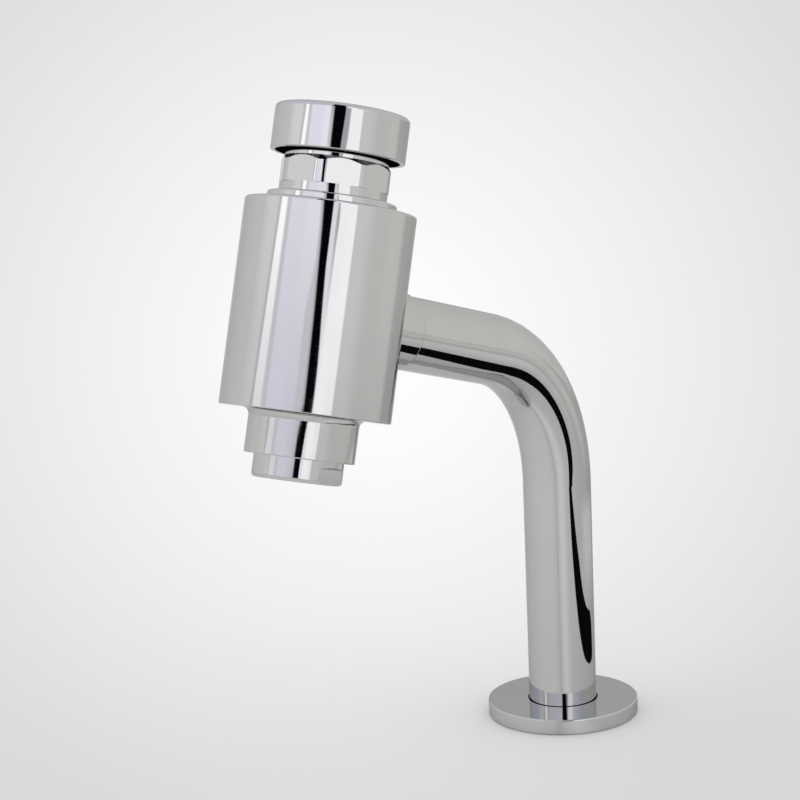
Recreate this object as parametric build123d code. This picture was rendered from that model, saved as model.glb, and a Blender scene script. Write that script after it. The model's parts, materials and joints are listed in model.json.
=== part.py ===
from build123d import *
import math
import os

# A push timed tap on a bent spout tube. Millimetres, +Z up.
# The origin is the centre of the deck flange's underside, on the column's axis.
# The deck plane is z = 0, and the arm reaches towards -Y, rising as it goes.

# Clearances shared by the fits
FIT = 0.05            # fixed pieces that push or screw together
RUNNING = 0.08        # radial gap of a shaft or piston that slides
OVERRUN = 2.0         # how far a cutting tool runs past the face it cuts

# Spout tube
TUBE_D = 25.4
TUBE_WALL = 1.5
COLUMN_STRAIGHT = 90.4     # deck plane to the start of the bend
BEND_RADIUS = 59.5
ARM_RISE_DEG = 15.9        # slope of the arm above the deck
ARM_STRAIGHT = 96.8        # end of the bend to the head's axis

# Deck flange
FLANGE_D = 56.6
FLANGE_THICK = 5.75
FLANGE_EDGE = 0.5
FLANGE_TUBE_GAP = 0.6      # the dark ring seen round the column's foot
FLANGE_LEDGE_TOP = 3.0     # the column's end stands on this inner ledge
FLANGE_RIM = 4.3           # from the flange's edge to its gasket
FLANGE_GASKET_THICK = 1.2

# Inlet shank and its fixings under the deck
SHANK_STEP = 2.2225        # column to thread: G 1/2, 20.955 across, in a 25.4 column
SHANK_WALL = 3.9775
SHANK_HEAD_LENGTH = 15.0   # brazed inside the column
SHANK_DROP = 50.0          # below the deck plane
SHANK_END_EDGE = 1.0
HOSE_THREAD_LENGTH = 12.5
SHANK_GROOVE_WIDTH = 1.5
SHANK_GROOVE_DEPTH = 1.1
SHANK_HOLE_GAP = 0.3       # round the shank in washers and flange
DECK_THICK = 20.0          # the deck that the fixings leave room for
DECK_GASKET_WIDTH = 6.7
DECK_GASKET_THICK = 2.5
DECK_WASHER_WIDTH = 7.7
DECK_WASHER_THICK = 1.5
BACK_NUT_WALL = 3.0225     # 27 across its flats
BACK_NUT_THICK = 7.0
NUT_CORNER_SHARE = 1.11    # turned corner diameter over the size across flats
NUT_CHAMFER_SHARE = 0.96   # chamfer's small diameter over the size across flats
NUT_CHAMFER_SLOPE = 0.5    # chamfer's height over its width

# Flow restrictor in the shank's end
RESTRICTOR_LEDGE = 1.0     # step from the shank's bore out to the restrictor
RESTRICTOR_THICK = 4.0
RESTRICTOR_SETBACK = 2.0
RESTRICTOR_HOLE_D = 2.4
RESTRICTOR_PITCH = 4.2      # least spacing of its holes, round their ring
RESTRICTOR_EDGE = 3.3      # from the disc's edge to its ring of holes

# Valve body
BODY_WALL = 9.1            # round the cartridge's bore
BODY_RISE = 35.6           # above the arm's axis
BODY_DROP = 31.8           # below it
BODY_TOP_EDGE = 0.8
BODY_LOW_EDGE = 0.3
GALLERY_DEPTH = 3.0        # inlet gallery round the cartridge
GALLERY_HALF = 11.0
FLOOR_DROP = 17.0          # cartridge floor below the arm's axis
FLOOR_THICK = 7.0
FLOOR_HOLE_GAP = 1.7       # round the seal's holder
BOSS_WALL = 4.075          # round the outlet's thread
BOSS_LENGTH = 14.4
BOSS_ROOT = 2.4            # concave round where the boss leaves the body
BOSS_EDGE = 0.35

# Side neck of the valve body
NECK_WALL = 0.925          # round the arm's socket
NECK_REACH = 41.5          # head's axis to the neck's rim
NECK_EDGE = 0.8
NECK_SOCKET_DEPTH = 9.0
NECK_THREAD_DEPTH = 7.5
NECK_BORE_STEP = 0.5       # wider than the ferrule's bore, at the radius

# Arm ferrule and its seal
FERRULE_GRIP = 12.0        # length brazed inside the tube
FERRULE_WALL = 2.4275
ARM_SEAL_THICK = 1.5

# Outlet and aerator
OUTLET_THREAD_D = 28.0     # M28 x 1 thread, at its major diameter
OUTLET_LEDGE = 2.0         # the gasket's seat, inside the thread
AERATOR_STEP = 0.78        # ring proud of the thread
AERATOR_SHOW = 7.5         # height of the ring below the boss
AERATOR_EDGE = 1.25
AERATOR_WALL = 1.75
AERATOR_LIP = 1.0
AERATOR_LIP_THICK = 1.5
AERATOR_THREAD_LENGTH = 9.2
AERATOR_FLAT_DEPTH = 1.18  # of the two spanner flats
AERATOR_FLAT_HEIGHT = 5.1  # up to the sloped shoulder above each flat
AERATOR_FLAT_RISE = 0.7    # of that shoulder
AERATOR_MESH_THICK = 0.6
AERATOR_MESH_HOLE_D = 1.5
AERATOR_MESH_PITCH = 2.6
AERATOR_INSERT_HEIGHT = 11.5
AERATOR_INSERT_WALL = 1.4
AERATOR_PLATE_THICK = 2.0
AERATOR_JET_D = 1.2
AERATOR_JETS = 14
AERATOR_JET_EDGE = 3.25    # from the cup's wall to the ring of jets
AERATOR_GASKET_THICK = 1.9
AERATOR_GASKET_WIDTH = 3.45
AERATOR_GASKET_GAP = 0.1

# Head nut: round flange, collar, eight flats and a spigot, over a threaded end
HEAD_NUT_FLANGE_STEP = 3.5 # flange out from the collar
HEAD_NUT_FLANGE_THICK = 2.8
HEAD_NUT_FLANGE_EDGE = 0.6
HEAD_NUT_COLLAR_STEP = 0.35    # collar out from the flats
HEAD_NUT_COLLAR_HEIGHT = 3.2
HEAD_NUT_FLATS = 34.7      # across the flats
HEAD_NUT_CORNER_ROUND = 5.5    # radius of the rounded corners between the flats
HEAD_NUT_FLAT_SIDES = 8
HEAD_NUT_FLAT_HEIGHT = 7.1 # up to the chamfer's corner
HEAD_NUT_CHAMFER_RISE = 1.7
HEAD_NUT_SPIGOT_STEP = 0.4 # spigot in from the flats
HEAD_NUT_SPIGOT_HEIGHT = 3.6
HEAD_NUT_SPIGOT_EDGE = 0.5
HEAD_NUT_WALL = 4.55
HEAD_NUT_GUIDE_WALL = 3.05

# Cartridge
SEAT_GASKET_THICK = 1.5
SLEEVE_BORE_D = 26.0
SLEEVE_WALL = 5.95
SLEEVE_HEIGHT = 36.5
SLEEVE_FLANGE_THICK = 4.0
SLEEVE_WAIST_DEPTH = 2.75  # behind the strainer
SLEEVE_WAIST_HALF = 9.0
SLEEVE_WINDOW_D = 6.4
SLEEVE_WINDOW_DROP = 3.0
SLEEVE_WINDOWS = 6
STRAINER_WALL = 0.8
STRAINER_HOLE_D = 2.4
STRAINER_ROWS = 3
STRAINER_HOLES = 14
STRAINER_PITCH = 4.6
O_RING_D = 1.7             # section of the cartridge's O-rings
O_RING_SIDE = 0.3          # spare width of an O-ring groove
CAP_PLUG_LENGTH = 3.5
CAP_FLANGE_THICK = 4.0
CAP_RING_DROP = 0.6        # groove below the cap's flange

# Valve seat and its seal
SEAT_BORE_D = 10.0
SEAT_BODY_D = 15.9
SEAT_FLANGE_GAP = 1.7      # inside the sleeve
SEAT_FLANGE_THICK = 1.5
SEAT_LIP = 1.0             # below the sleeve's lower face
SEAT_GAP = 0.1             # seal to seat with the tap shut
SEAL_D = 14.0
SEAL_THICK = 2.2
SEAL_HOLDER_WALL = 0.75
SEAL_HOLDER_BASE = 2.5
SEAL_HOLDER_RIM = 1.3
SEAL_NUT_ACROSS = 8.0
SEAL_NUT_THICK = 4.0

# Stem, piston and spring
STROKE = 6.0               # travel of the button
STEM_D = 8.0
STEM_SHOULDER = 1.0        # step down to the part that the piston rides on
STEM_TAIL_STEP = 0.5       # and down again to the seal's thread
STEM_TAIL_SPARE = 1.2      # thread left showing below the seal nut
PISTON_GAP = 2.5           # below the cap with the tap shut
PISTON_HEIGHT = 7.0
CUP_SEAL_HEIGHT = 2.4
CUP_SEAL_WALL = 2.7
CUP_SEAL_RISE = 3.0
CUP_SEAL_FLOOR = 0.9
CUP_SEAL_LIP = 0.55
CUP_SEAL_ROOT = 0.75
CLIP_D = 11.0
CLIP_THICK = 1.0
CLIP_GROOVE_DEPTH = 0.35
SPRING_WIRE_D = 1.4
SPRING_COIL_D = 18.0       # at the wire's middle
SPRING_TURNS = 5
SPRING_END_GAP = 0.05
BLEED_PIN_D = 1.0
BLEED_HOLE_D = 1.8
BLEED_PIN_WALL = 0.57      # between the stem's O-ring groove and the pin
BLEED_PIN_GRIP = 2.0
BLEED_PIN_SHORT = 0.5      # pin's end inside the piston with the tap shut
STEM_O_RING_D = 2.0
STEM_RING_RISE = 0.4       # groove above the cap's lower face
BUSH_D = 13.0
BUSH_SHOW = 2.5            # bush above the cap
BUSH_LEDGE = 0.4           # between the O-ring groove and the bush
GUIDE_THICK = 3.0

# Push button
BUTTON_HEIGHT = 14.9       # to the rim of the domed top
BUTTON_DOME = 0.7
BUTTON_TOP_EDGE = 1.6
BUTTON_LOW_EDGE = 0.35
BUTTON_SKIRT_WALL = 1.65
BUTTON_SKIRT_GAP = 2.1     # round the head nut's corners
BUTTON_ROOF = 3.8
BUTTON_HUB_D = 16.0
BUTTON_HUB_LENGTH = 5.2
BUTTON_GAP = 1.6           # button's lower rim above the nut's chamfer
STEM_END_GAP = 0.6
LOCK_NUT_ACROSS = 13.0
LOCK_NUT_THICK = 4.0
LOCK_NUT_ROOM = 3.9        # left above the guide disc with the button pressed

# Diameters that follow from what they hold
tube_bore_d = TUBE_D - 2 * TUBE_WALL
shank_thread_d = TUBE_D - 2 * SHANK_STEP
shank_hole_d = shank_thread_d + 2 * SHANK_HOLE_GAP
shank_bore_d = shank_thread_d - 2 * SHANK_WALL
restrictor_d = shank_bore_d + 2 * RESTRICTOR_LEDGE
deck_gasket_d = shank_hole_d + 2 * DECK_GASKET_WIDTH
deck_washer_d = shank_hole_d + 2 * DECK_WASHER_WIDTH
back_nut_across = shank_thread_d + 2 * BACK_NUT_WALL
flange_gasket_d = FLANGE_D - 2 * FLANGE_RIM
neck_d = TUBE_D + 2 * FIT + 2 * NECK_WALL
ferrule_thread_d = shank_thread_d - 2 * FIT
ferrule_bore_d = ferrule_thread_d - 2 * FERRULE_WALL
neck_bore_d = ferrule_bore_d + 2 * NECK_BORE_STEP
stem_waist_d = STEM_D - 2 * STEM_SHOULDER
stem_tail_d = stem_waist_d - 2 * STEM_TAIL_STEP
stem_groove_d = STEM_D + 2 * RUNNING + 2 * STEM_O_RING_D + 2 * FIT
bleed_pin_offset = (stem_groove_d + BLEED_PIN_D) / 2 + BLEED_PIN_WALL
sleeve_d = SLEEVE_BORE_D + 2 * SLEEVE_WALL
sleeve_waist_d = sleeve_d - 2 * SLEEVE_WAIST_DEPTH
seat_flange_d = SLEEVE_BORE_D - 2 * SEAT_FLANGE_GAP
seal_holder_d = SEAL_D + 2 * FIT + 2 * SEAL_HOLDER_WALL
cartridge_bore_d = sleeve_d + 2 * FIT
gallery_d = cartridge_bore_d + 2 * GALLERY_DEPTH
body_d = cartridge_bore_d + 2 * BODY_WALL
floor_hole_d = seal_holder_d + 2 * FLOOR_HOLE_GAP
boss_d = OUTLET_THREAD_D + 2 * BOSS_WALL
outlet_bore_d = OUTLET_THREAD_D - 2 * OUTLET_LEDGE
aerator_thread_d = OUTLET_THREAD_D - 2 * FIT
aerator_d = OUTLET_THREAD_D + 2 * AERATOR_STEP
aerator_bore_d = aerator_thread_d - 2 * AERATOR_WALL
aerator_lip_d = aerator_bore_d - 2 * AERATOR_LIP
nut_collar_d = HEAD_NUT_FLATS + 2 * HEAD_NUT_COLLAR_STEP
nut_flange_d = nut_collar_d + 2 * HEAD_NUT_FLANGE_STEP
nut_corner_centres_d = (HEAD_NUT_FLATS - 2 * HEAD_NUT_CORNER_ROUND) / math.cos(math.pi / HEAD_NUT_FLAT_SIDES)
nut_corners_d = nut_corner_centres_d + 2 * HEAD_NUT_CORNER_ROUND
nut_spigot_d = HEAD_NUT_FLATS - 2 * HEAD_NUT_SPIGOT_STEP
nut_bore_d = nut_spigot_d - 2 * HEAD_NUT_WALL
nut_guide_bore_d = nut_spigot_d - 2 * HEAD_NUT_GUIDE_WALL
button_bore_d = nut_corners_d + 2 * BUTTON_SKIRT_GAP
button_d = button_bore_d + 2 * BUTTON_SKIRT_WALL

# Places on the column, from the deck plane up
column_foot = FLANGE_LEDGE_TOP + FIT
shank_head_top = column_foot + SHANK_HEAD_LENGTH
deck_gasket_low = -DECK_THICK - DECK_GASKET_THICK
deck_washer_low = deck_gasket_low - DECK_WASHER_THICK
back_nut_low = deck_washer_low - BACK_NUT_THICK

# The head's axis leans back by the arm's rise, so that it is square to the arm
arm_rise = math.radians(ARM_RISE_DEG)
bend_turn = math.pi / 2 - arm_rise
bend_end_y = BEND_RADIUS * (math.cos(bend_turn) - 1)
bend_end_z = COLUMN_STRAIGHT + BEND_RADIUS * math.sin(bend_turn)
head_y = bend_end_y - ARM_STRAIGHT * math.cos(arm_rise)
head_z = bend_end_z + ARM_STRAIGHT * math.sin(arm_rise)
HEAD = Pos(0, head_y, head_z) * Rot(-ARM_RISE_DEG, 0, 0)

# Places on the head's axis, from the arm's axis up
floor_top = -FLOOR_DROP
floor_low = floor_top - FLOOR_THICK
boss_low = -BODY_DROP - BOSS_LENGTH
aerator_low = boss_low - AERATOR_SHOW
aerator_thread_top = boss_low + AERATOR_THREAD_LENGTH
outlet_ledge = aerator_thread_top + AERATOR_GASKET_THICK + AERATOR_GASKET_GAP
aerator_lip_top = aerator_low + AERATOR_LIP_THICK
aerator_mesh_top = aerator_lip_top + AERATOR_MESH_THICK
sleeve_low = floor_top + SEAT_GASKET_THICK
sleeve_top = sleeve_low + SLEEVE_HEIGHT
sleeve_floor = sleeve_low + SLEEVE_FLANGE_THICK
cap_low = sleeve_top - CAP_PLUG_LENGTH
cap_top = sleeve_top + CAP_FLANGE_THICK
cap_groove_high = sleeve_top - CAP_RING_DROP
cap_groove_low = cap_groove_high - O_RING_D - O_RING_SIDE
stem_groove_low = cap_low + STEM_RING_RISE
stem_groove_high = stem_groove_low + STEM_O_RING_D + O_RING_SIDE
bush_low = stem_groove_high + BUSH_LEDGE
seat_low = sleeve_low - SEAT_LIP
seat_top = sleeve_floor + SEAT_FLANGE_THICK
seal_top = seat_low - SEAT_GAP
seal_low = seal_top - SEAL_THICK
holder_low = seal_low - SEAL_HOLDER_BASE
seal_nut_low = holder_low - SEAL_NUT_THICK
stem_low = seal_nut_low - STEM_TAIL_SPARE
piston_top = cap_low - PISTON_GAP
piston_low = piston_top - PISTON_HEIGHT
sleeve_ring_middle = (SLEEVE_WAIST_HALF + sleeve_top) / 2
nut_flange_top = BODY_RISE + HEAD_NUT_FLANGE_THICK
nut_collar_top = nut_flange_top + HEAD_NUT_COLLAR_HEIGHT
nut_corner_top = nut_collar_top + HEAD_NUT_FLAT_HEIGHT
nut_chamfer_top = nut_corner_top + HEAD_NUT_CHAMFER_RISE
spigot_top = nut_chamfer_top + HEAD_NUT_SPIGOT_HEIGHT
button_low = nut_chamfer_top + BUTTON_GAP
button_rim = button_low + BUTTON_HEIGHT
button_roof_low = button_rim - BUTTON_ROOF
hub_low = button_roof_low - BUTTON_HUB_LENGTH
lock_nut_low = hub_low - LOCK_NUT_THICK
guide_top = lock_nut_low - STROKE - LOCK_NUT_ROOM
guide_low = guide_top - GUIDE_THICK
stem_top = button_roof_low - STEM_END_GAP

# Places along the arm, from the head's axis towards the column
socket_floor = NECK_REACH - NECK_SOCKET_DEPTH
neck_thread_end = socket_floor - NECK_THREAD_DEPTH
arm_seal_end = socket_floor + ARM_SEAL_THICK
tube_end = arm_seal_end + FIT
ferrule_end = tube_end + FERRULE_GRIP


def turned(*corners):
    """Turn an outline about Z. A corner is (diameter, height) and may add a rounding radius."""
    outline = make_face(Polyline(*[(corner[0] / 2, corner[1]) for corner in corners], close=True))
    for corner in corners:
        if len(corner) > 2:
            spot = Vector(corner[0] / 2, corner[1])
            nearest = outline.vertices().sort_by(lambda vertex: (Vector(vertex) - spot).length)[0]
            outline = fillet(nearest, corner[2])
    return revolve(Plane.XZ * outline, axis=Axis.Z)


def ring(outer_d, hole_d, low, high):
    return turned((hole_d, low), (outer_d, low), (outer_d, high), (hole_d, high))


def rod(diameter, low, high):
    return Pos(0, 0, low) * Cylinder(diameter / 2, high - low, align=(Align.CENTER, Align.CENTER, Align.MIN))


def o_ring(inner_d, section_d, middle):
    return Pos(0, 0, middle) * Torus((inner_d + section_d) / 2, section_d / 2)


def prism(across, sides, low, high, corner_round=0):
    outline = RegularPolygon(across / 2, sides, major_radius=False, rotation=180 / sides)
    if corner_round:
        outline = fillet(outline.vertices(), corner_round)
    return Pos(0, 0, low) * extrude(outline, high - low)


def hex_nut(across, hole_d, low, high):
    """A hexagon with its corners turned and both faces chamfered."""
    corners_d = across * NUT_CORNER_SHARE
    small_d = across * NUT_CHAMFER_SHARE
    rise = NUT_CHAMFER_SLOPE * (corners_d - small_d) / 2
    envelope = turned(
        (0, low),
        (small_d, low),
        (corners_d, low + rise),
        (corners_d, high - rise),
        (small_d, high),
        (0, high),
    )
    return (prism(across, 6, low, high) & envelope) - rod(hole_d, low - OVERRUN, high + OVERRUN)


def circle_of(shape, count, diameter):
    """Copies of a shape, spaced evenly on a circle about Z."""
    return [Rot(0, 0, turn * 360 / count) * Pos(diameter / 2, 0, 0) * shape for turn in range(count)]


def on_arm(shape):
    """Lay a shape turned about Z along the arm, from the head's axis towards the column."""
    return HEAD * Rot(-90, 0, 0) * shape


def on_head(shape):
    return HEAD * shape


# Spout side
def spout_tube():
    arm_back = Vector(0, math.cos(arm_rise), -math.sin(arm_rise))
    foot = Vector(0, 0, column_foot)
    bend_start = Vector(0, 0, COLUMN_STRAIGHT)
    half_turn = bend_turn / 2
    bend_middle = Vector(
        0,
        BEND_RADIUS * (math.cos(half_turn) - 1),
        COLUMN_STRAIGHT + BEND_RADIUS * math.sin(half_turn),
    )
    bend_end = Vector(0, bend_end_y, bend_end_z)
    end = Vector(0, head_y, head_z) + arm_back * tube_end
    path = Line(foot, bend_start) + ThreePointArc(bend_start, bend_middle, bend_end) + Line(bend_end, end)
    section = Pos(0, 0, column_foot) * Circle(TUBE_D / 2)
    bore_section = Pos(0, 0, column_foot) * Circle(tube_bore_d / 2)
    return sweep(section, path=path) - sweep(bore_section, path=path)


def arm_ferrule():
    head_d = tube_bore_d - 2 * FIT
    thread_end = neck_thread_end + FIT
    return on_arm(turned(
        (ferrule_bore_d, thread_end),
        (ferrule_thread_d, thread_end),
        (ferrule_thread_d, arm_seal_end),
        (head_d, arm_seal_end + FIT),
        (head_d, ferrule_end),
        (ferrule_bore_d, ferrule_end),
    ))


def arm_seal():
    return on_arm(ring(TUBE_D, shank_thread_d + 2 * FIT, socket_floor, arm_seal_end))


def deck_flange():
    tube_hole_d = TUBE_D + 2 * FLANGE_TUBE_GAP
    recess_d = flange_gasket_d + 2 * FIT
    return turned(
        (shank_hole_d, FLANGE_GASKET_THICK),
        (recess_d, FLANGE_GASKET_THICK),
        (recess_d, 0),
        (FLANGE_D, 0, FLANGE_EDGE),
        (FLANGE_D, FLANGE_THICK, FLANGE_EDGE),
        (tube_hole_d, FLANGE_THICK),
        (tube_hole_d, FLANGE_LEDGE_TOP),
        (shank_hole_d, FLANGE_LEDGE_TOP),
    )


def flange_gasket():
    return ring(flange_gasket_d, shank_hole_d, 0, FLANGE_GASKET_THICK)


def inlet_shank():
    head_d = tube_bore_d - 2 * FIT
    groove_d = shank_thread_d - 2 * SHANK_GROOVE_DEPTH
    groove_low = HOSE_THREAD_LENGTH - SHANK_DROP
    end_d = shank_thread_d - 2 * SHANK_END_EDGE
    pocket_top = RESTRICTOR_SETBACK + RESTRICTOR_THICK - SHANK_DROP
    pocket_d = restrictor_d + 2 * FIT
    return turned(
        (shank_bore_d, pocket_top),
        (pocket_d, pocket_top),
        (pocket_d, -SHANK_DROP),
        (end_d, -SHANK_DROP),
        (shank_thread_d, SHANK_END_EDGE - SHANK_DROP),
        (shank_thread_d, groove_low),
        (groove_d, groove_low),
        (groove_d, groove_low + SHANK_GROOVE_WIDTH),
        (shank_thread_d, groove_low + SHANK_GROOVE_WIDTH),
        (shank_thread_d, column_foot),
        (head_d, column_foot),
        (head_d, shank_head_top),
        (shank_bore_d, shank_head_top),
    )


def flow_restrictor():
    low = RESTRICTOR_SETBACK - SHANK_DROP
    high = low + RESTRICTOR_THICK
    disc = rod(restrictor_d, low, high)
    hole = rod(RESTRICTOR_HOLE_D, low - OVERRUN, high + OVERRUN)
    ring_d = restrictor_d - 2 * RESTRICTOR_EDGE
    holes = int(math.pi * ring_d / RESTRICTOR_PITCH)
    return disc - circle_of(hole, holes, ring_d)


def deck_gasket():
    return ring(deck_gasket_d, shank_hole_d, deck_gasket_low, -DECK_THICK)


def deck_washer():
    return ring(deck_washer_d, shank_hole_d, deck_washer_low, deck_gasket_low)


def back_nut():
    return hex_nut(back_nut_across, shank_thread_d + 2 * FIT, back_nut_low, deck_washer_low)


# Head: fixed pieces
def valve_body():
    shell = turned(
        (0, BODY_RISE),
        (body_d, BODY_RISE, BODY_TOP_EDGE),
        (body_d, -BODY_DROP, BODY_LOW_EDGE),
        (boss_d, -BODY_DROP, BOSS_ROOT),
        (boss_d, boss_low, BOSS_EDGE),
        (0, boss_low),
    )
    neck = Rot(-90, 0, 0) * turned((0, 0), (neck_d, 0), (neck_d, NECK_REACH, NECK_EDGE), (0, NECK_REACH))
    bores = turned(
        (0, BODY_RISE + OVERRUN),
        (cartridge_bore_d, BODY_RISE + OVERRUN),
        (cartridge_bore_d, GALLERY_HALF),
        (gallery_d, GALLERY_HALF),
        (gallery_d, -GALLERY_HALF),
        (cartridge_bore_d, -GALLERY_HALF),
        (cartridge_bore_d, floor_top),
        (floor_hole_d, floor_top),
        (floor_hole_d, floor_low),
        (outlet_bore_d, floor_low),
        (outlet_bore_d, outlet_ledge),
        (OUTLET_THREAD_D, outlet_ledge),
        (OUTLET_THREAD_D, boss_low - OVERRUN),
        (0, boss_low - OVERRUN),
    )
    neck_bores = Rot(-90, 0, 0) * turned(
        (0, NECK_REACH + OVERRUN),
        (TUBE_D + 2 * FIT, NECK_REACH + OVERRUN),
        (TUBE_D + 2 * FIT, socket_floor),
        (shank_thread_d, socket_floor),
        (shank_thread_d, neck_thread_end),
        (neck_bore_d, neck_thread_end),
        (neck_bore_d, 0),
        (0, 0),
    )
    return on_head(shell + neck - bores - neck_bores)


def head_nut():
    turned_part = turned(
        (0, cap_top + FIT),
        (sleeve_d, cap_top + FIT),
        (sleeve_d, BODY_RISE),
        (nut_flange_d, BODY_RISE),
        (nut_flange_d, nut_flange_top, HEAD_NUT_FLANGE_EDGE),
        (nut_collar_d, nut_flange_top),
        (nut_collar_d, nut_collar_top),
        (nut_spigot_d, nut_collar_top),
        (nut_spigot_d, spigot_top, HEAD_NUT_SPIGOT_EDGE),
        (0, spigot_top),
    )
    octagon = prism(
        HEAD_NUT_FLATS,
        HEAD_NUT_FLAT_SIDES,
        nut_collar_top,
        nut_chamfer_top,
        HEAD_NUT_CORNER_ROUND,
    )
    flats = octagon & turned(
        (0, nut_collar_top),
        (nut_corners_d + OVERRUN, nut_collar_top),
        (nut_corners_d + OVERRUN, nut_corner_top),
        (nut_corners_d, nut_corner_top),
        (nut_spigot_d, nut_chamfer_top),
        (0, nut_chamfer_top),
    )
    bores = turned(
        (0, cap_top - OVERRUN),
        (nut_bore_d, cap_top - OVERRUN),
        (nut_bore_d, guide_low),
        (nut_guide_bore_d, guide_low),
        (nut_guide_bore_d, spigot_top + OVERRUN),
        (0, spigot_top + OVERRUN),
    )
    return on_head(turned_part + flats - bores)


def stem_guide():
    return on_head(ring(nut_guide_bore_d - 2 * FIT, STEM_D + 2 * RUNNING, guide_low, guide_top))


def seat_gasket():
    return on_head(ring(sleeve_d, floor_hole_d, floor_top, sleeve_low))


def cartridge_sleeve():
    groove_low = sleeve_ring_middle - (O_RING_D + O_RING_SIDE) / 2
    groove_high = sleeve_ring_middle + (O_RING_D + O_RING_SIDE) / 2
    groove_d = sleeve_d - 2 * O_RING_D
    sleeve = turned(
        (SEAT_BODY_D + 2 * FIT, sleeve_low),
        (sleeve_d, sleeve_low),
        (sleeve_d, -SLEEVE_WAIST_HALF),
        (sleeve_waist_d, -SLEEVE_WAIST_HALF),
        (sleeve_waist_d, SLEEVE_WAIST_HALF),
        (sleeve_d, SLEEVE_WAIST_HALF),
        (sleeve_d, groove_low),
        (groove_d, groove_low),
        (groove_d, groove_high),
        (sleeve_d, groove_high),
        (sleeve_d, sleeve_top),
        (SLEEVE_BORE_D, sleeve_top),
        (SLEEVE_BORE_D, sleeve_floor),
        (SEAT_BODY_D + 2 * FIT, sleeve_floor),
    )
    window = Pos(0, 0, -SLEEVE_WINDOW_DROP) * Rot(0, 90, 0) * rod(SLEEVE_WINDOW_D, 0, sleeve_waist_d)
    return on_head(sleeve - circle_of(window, SLEEVE_WINDOWS, 0))


def sleeve_o_ring():
    return on_head(o_ring(sleeve_d - 2 * O_RING_D, O_RING_D - FIT, sleeve_ring_middle))


def inlet_strainer():
    inner_d = sleeve_waist_d + 2 * FIT
    half = SLEEVE_WAIST_HALF - FIT
    tube = ring(inner_d + 2 * STRAINER_WALL, inner_d, -half, half)
    holes = []
    for row in range(STRAINER_ROWS):
        height = (row - (STRAINER_ROWS - 1) / 2) * STRAINER_PITCH
        hole = Pos(0, 0, height) * Rot(0, 90, 0) * rod(STRAINER_HOLE_D, 0, sleeve_waist_d)
        stagger = Rot(0, 0, (row % 2) * 180 / STRAINER_HOLES)
        holes += [stagger * copy for copy in circle_of(hole, STRAINER_HOLES, 0)]
    return on_head(tube - holes)


def valve_seat():
    return on_head(turned(
        (SEAT_BORE_D, seat_low),
        (SEAT_BODY_D, seat_low),
        (SEAT_BODY_D, sleeve_floor),
        (seat_flange_d, sleeve_floor),
        (seat_flange_d, seat_top),
        (SEAT_BORE_D, seat_top),
    ))


def cartridge_cap():
    plug_d = SLEEVE_BORE_D - 2 * FIT
    cap_groove_d = plug_d - 2 * O_RING_D
    stem_hole_d = STEM_D + 4 * RUNNING
    bush_hole_d = BUSH_D + 2 * FIT
    cap = turned(
        (stem_hole_d, cap_low),
        (plug_d, cap_low),
        (plug_d, cap_groove_low),
        (cap_groove_d, cap_groove_low),
        (cap_groove_d, cap_groove_high),
        (plug_d, cap_groove_high),
        (plug_d, sleeve_top),
        (sleeve_d, sleeve_top),
        (sleeve_d, cap_top),
        (bush_hole_d, cap_top),
        (bush_hole_d, bush_low),
        (stem_hole_d, bush_low),
        (stem_hole_d, stem_groove_high),
        (stem_groove_d, stem_groove_high),
        (stem_groove_d, stem_groove_low),
        (stem_hole_d, stem_groove_low),
    )
    pin_hole = rod(BLEED_PIN_D + 2 * FIT, cap_low - OVERRUN, cap_low + BLEED_PIN_GRIP)
    return on_head(cap - Pos(0, bleed_pin_offset, 0) * pin_hole)


def cap_o_ring():
    inner_d = SLEEVE_BORE_D - 2 * FIT - 2 * O_RING_D
    middle = (cap_groove_low + cap_groove_high) / 2
    return on_head(o_ring(inner_d + FIT, O_RING_D - FIT, middle))


def stem_o_ring():
    middle = (stem_groove_low + stem_groove_high) / 2
    return on_head(o_ring(STEM_D + 2 * RUNNING, STEM_O_RING_D, middle))


def guide_bush():
    return on_head(ring(BUSH_D, STEM_D + 2 * RUNNING, bush_low, cap_top + BUSH_SHOW))


def bleed_pin():
    pin = rod(BLEED_PIN_D, piston_low + BLEED_PIN_SHORT, cap_low + BLEED_PIN_GRIP - FIT)
    return on_head(Pos(0, bleed_pin_offset, 0) * pin)


# Head: pieces that travel with the button
def push_button():
    shell = turned(
        (0, button_roof_low),
        (button_bore_d, button_roof_low),
        (button_bore_d, button_low),
        (button_d, button_low, BUTTON_LOW_EDGE),
        (button_d, button_rim, BUTTON_TOP_EDGE),
        (0, button_rim),
    )
    rim_r = button_d / 2 - BUTTON_TOP_EDGE
    dome_r = (rim_r**2 + BUTTON_DOME**2) / (2 * BUTTON_DOME)
    ball = Pos(0, 0, button_rim + BUTTON_DOME - dome_r) * Sphere(dome_r)
    dome = ball & rod(2 * rim_r, button_rim, button_rim + OVERRUN)
    hub = rod(BUTTON_HUB_D, hub_low, button_roof_low)
    stem_hole = rod(STEM_D + 2 * FIT, hub_low - OVERRUN, stem_top + FIT)
    return on_head(shell + dome + hub - stem_hole)


def button_lock_nut():
    return on_head(hex_nut(LOCK_NUT_ACROSS, STEM_D + 2 * FIT, lock_nut_low, hub_low))


def stem():
    groove_d = stem_waist_d - 2 * CLIP_GROOVE_DEPTH
    groove_high = piston_low
    groove_low = piston_low - CLIP_THICK - FIT
    return on_head(turned(
        (0, stem_low),
        (stem_tail_d, stem_low),
        (stem_tail_d, seal_top),
        (stem_waist_d, seal_top),
        (stem_waist_d, groove_low),
        (groove_d, groove_low),
        (groove_d, groove_high),
        (stem_waist_d, groove_high),
        (stem_waist_d, piston_top),
        (STEM_D, piston_top),
        (STEM_D, stem_top),
        (0, stem_top),
    ))


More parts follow.
